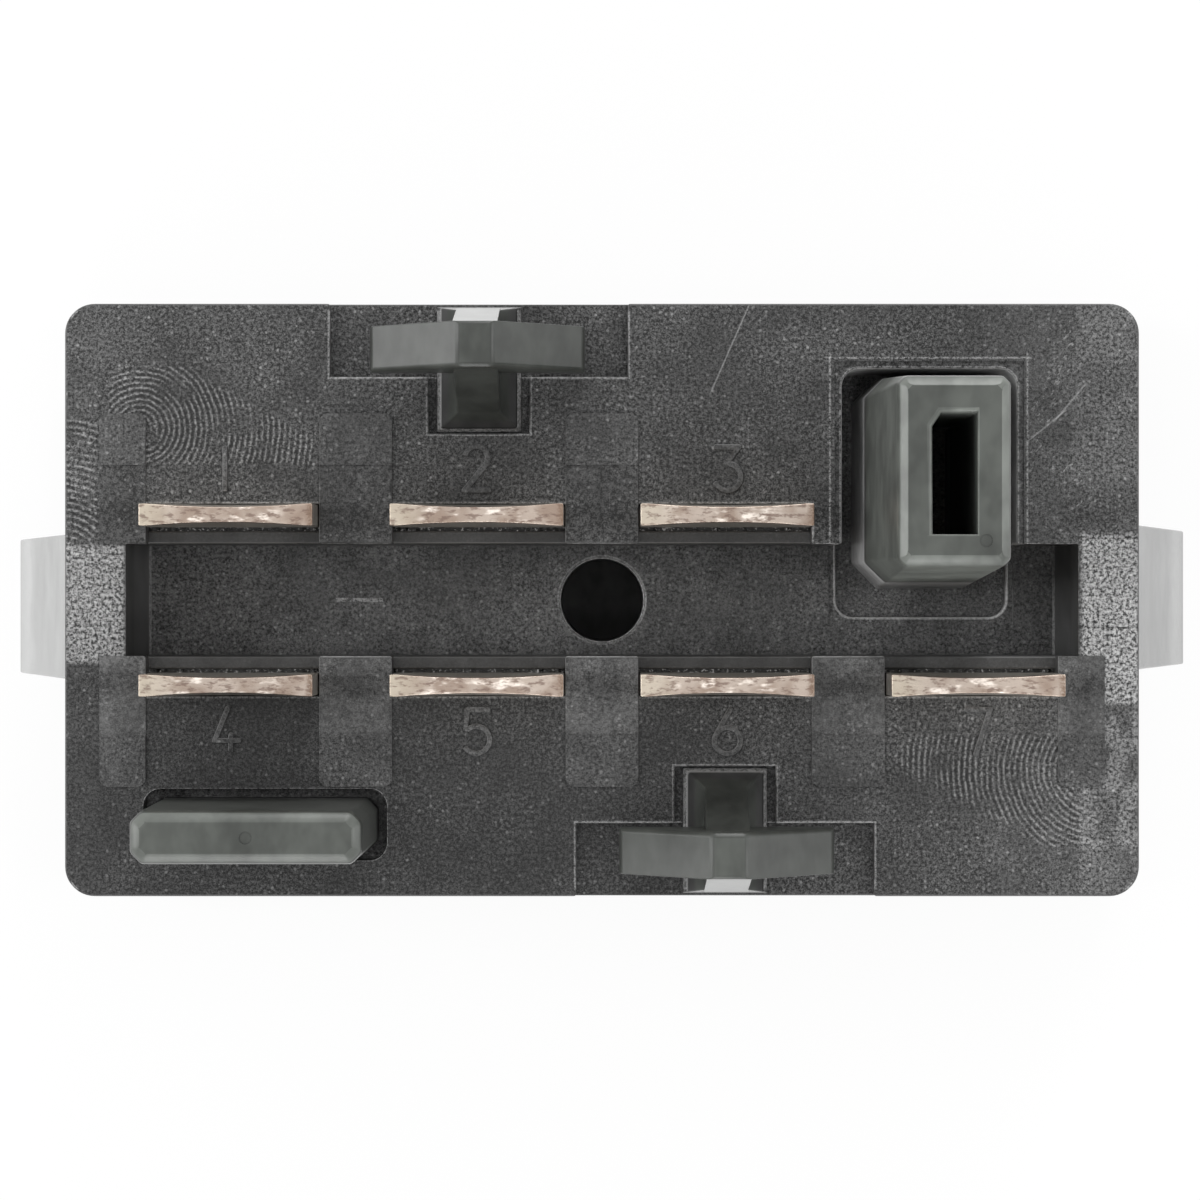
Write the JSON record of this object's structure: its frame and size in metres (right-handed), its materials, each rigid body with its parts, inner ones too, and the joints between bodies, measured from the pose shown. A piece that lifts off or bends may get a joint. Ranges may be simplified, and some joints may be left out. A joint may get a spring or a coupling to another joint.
{
  "type": "hazard light switch",
  "caption": "Snap-in hazard light push switch, seen from its plug side: flat blade terminals, plug latches, coding post and rib, side spring arms, red button behind a bezel.",
  "frame": {"origin": "centre of the bezel's front rim, on which the switch stands, under the middle of the whole object's outline", "axes": "+Z from the button side to the terminal side; +X along the longer side, from terminal 1 to the coding post; +Y across, from terminals 4-7 to terminals 1-3"},
  "size_m": [0.0472, 0.0246, 0.0376],
  "materials": {
    "black_nylon": "fine spark-eroded mould texture",
    "bezel_black": "satin grained",
    "blade_metal": "bare sheared copper alloy with tinned faces",
    "button_red": "satin red",
    "symbol_white": "translucent white inlay",
    "diffuser_white": "milky",
    "slider_natural": "natural acetal",
    "spring_steel": "drawn wire",
    "bridge_copper": "rolled copper strip",
    "contact_silver": "silver contact",
    "lamp_glass": "clear bulb glass",
    "holder_white": "white nylon",
    "lead_metal": "tinned strip"
  },
  "bodies": {
    "body": {"rear_housing": "black_nylon", "front_bezel": "bezel_black", "terminal_1": "blade_metal", "terminal_2": "blade_metal", "terminal_3": "blade_metal", "terminal_4": "blade_metal", "terminal_5": "blade_metal", "terminal_6": "blade_metal", "terminal_7": "blade_metal", "fixed_rivets": "contact_silver", "lamp_left": "lamp_glass", "lamp_right": "lamp_glass", "lamp_holder_left": "holder_white", "lamp_holder_right": "holder_white", "lamp_leads": "lead_metal", "return_spring": "spring_steel"},
    "button": {"button_cap": "button_red", "hazard_symbol": "symbol_white", "diffuser": "diffuser_white", "slider": "slider_natural", "bridge_upper_left": "bridge_copper", "bridge_lower_left": "bridge_copper", "bridge_lower_right": "bridge_copper", "spring_upper_left": "spring_steel", "spring_lower_left": "spring_steel", "spring_lower_right": "spring_steel", "moving_rivets": "contact_silver"},
    "catch": {"catch_pin": "spring_steel"}
  },
  "joints": [
    {"name": "button_press", "type": "slide", "parent": "body", "child": "button", "axis": [0, 0, 1], "range_m": [0, 0.003], "stiffness_N_per_m": 500, "springref_m": -0.003, "deforming": ["return_spring"]},
    {"name": "catch_swing", "type": "hinge", "parent": "body", "child": "catch", "pos_m": [0.0118, 0, 0.0192], "axis": [1, 0, 0], "range_deg": [-6, 0]}
  ],
  "couplings": [
    {"joint": "catch_swing", "follows": "button_press", "rad_per_m": -30.9}
  ]
}
